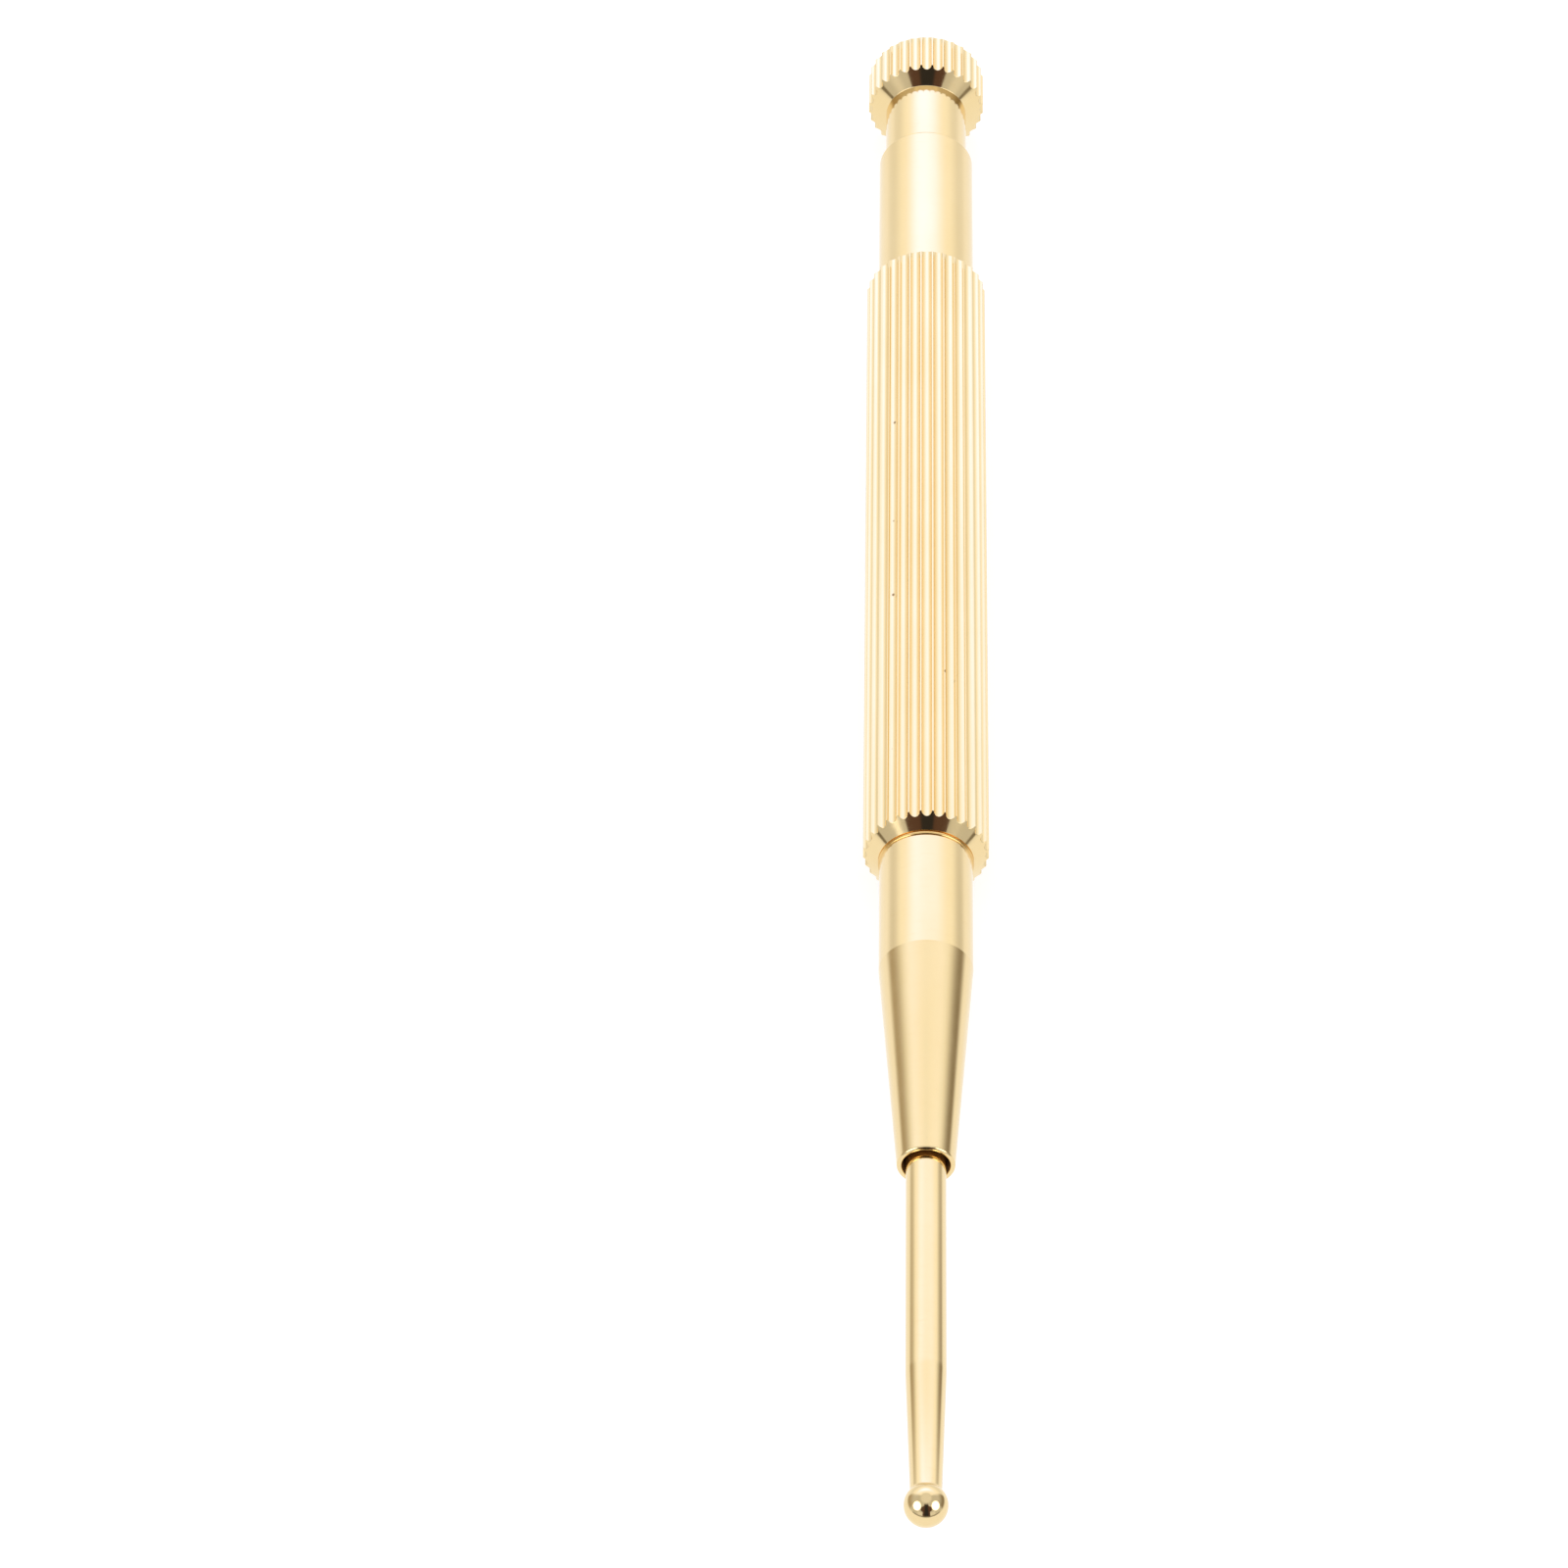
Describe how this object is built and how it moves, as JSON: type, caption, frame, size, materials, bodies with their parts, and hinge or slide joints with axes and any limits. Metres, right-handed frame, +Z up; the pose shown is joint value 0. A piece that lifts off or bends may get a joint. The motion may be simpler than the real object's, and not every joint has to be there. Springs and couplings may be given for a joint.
{
  "type": "spring-loaded ball probe",
  "caption": "Slim pen-shaped probe with a fluted grip, a tapered nose, a sprung telescoping ball-ended rod and a knurled knob at the tail that loads the spring.",
  "frame": {"origin": "bottom centre of the bounding box: on the table under the middle of the tool's length", "axes": "the tool lies along Y with the ball towards -Y and the knob towards +Y; +Z is up from the table"},
  "size_m": [0.008, 0.1266, 0.008],
  "materials": {
    "gold_plate": "polished and gold plated, with fine lathe marks",
    "bare_brass": "turned, unplated",
    "bearing_bronze": "sintered, dull",
    "hard_steel": "ground",
    "spring_steel": "drawn wire and rolled strip",
    "natural_nylon": "natural nylon"
  },
  "bodies": {
    "barrel": {"grip_sleeve": "gold_plate", "nose_cone": "gold_plate", "guide_bush": "bearing_bronze", "bump_washer": "natural_nylon", "seam_ring": "bare_brass", "tail_barrel": "gold_plate", "pressure_spring": "spring_steel"},
    "probe_carrier": {"thrust_washer": "hard_steel"},
    "probe": {"probe_rod": "gold_plate", "rod_collar": "bare_brass", "collar_pin": "hard_steel"},
    "follower": {"spring_follower": "bare_brass", "thrust_ball": "hard_steel"},
    "knob": {"adjuster_knob": "gold_plate", "adjuster_stud": "hard_steel", "stud_clip": "spring_steel", "stud_pin": "hard_steel"}
  },
  "joints": [
    {"name": "probe_slide", "type": "slide", "parent": "barrel", "child": "probe_carrier", "axis": [0, 1, 0], "range_m": [0, 0.008], "stiffness_N_per_m": 320, "springref_m": -0.0045, "deforming": ["pressure_spring"]},
    {"name": "probe_spin", "type": "hinge", "parent": "probe_carrier", "child": "probe", "pos_m": [0, -0.0163, 0.00399], "axis": [0, 1, 0], "continuous": true},
    {"name": "follower_slide", "type": "slide", "parent": "barrel", "child": "follower", "axis": [0, -1, 0], "range_m": [-0.0025, 0.003], "deforming": ["pressure_spring"]},
    {"name": "knob_turn", "type": "hinge", "parent": "follower", "child": "knob", "pos_m": [0, 0.0611, 0.00399], "axis": [0, -1, 0], "range_deg": [-1800, 2160]}
  ],
  "couplings": [
    {"joint": "knob_turn", "follows": "follower_slide", "rad_per_m": 12566}
  ]
}
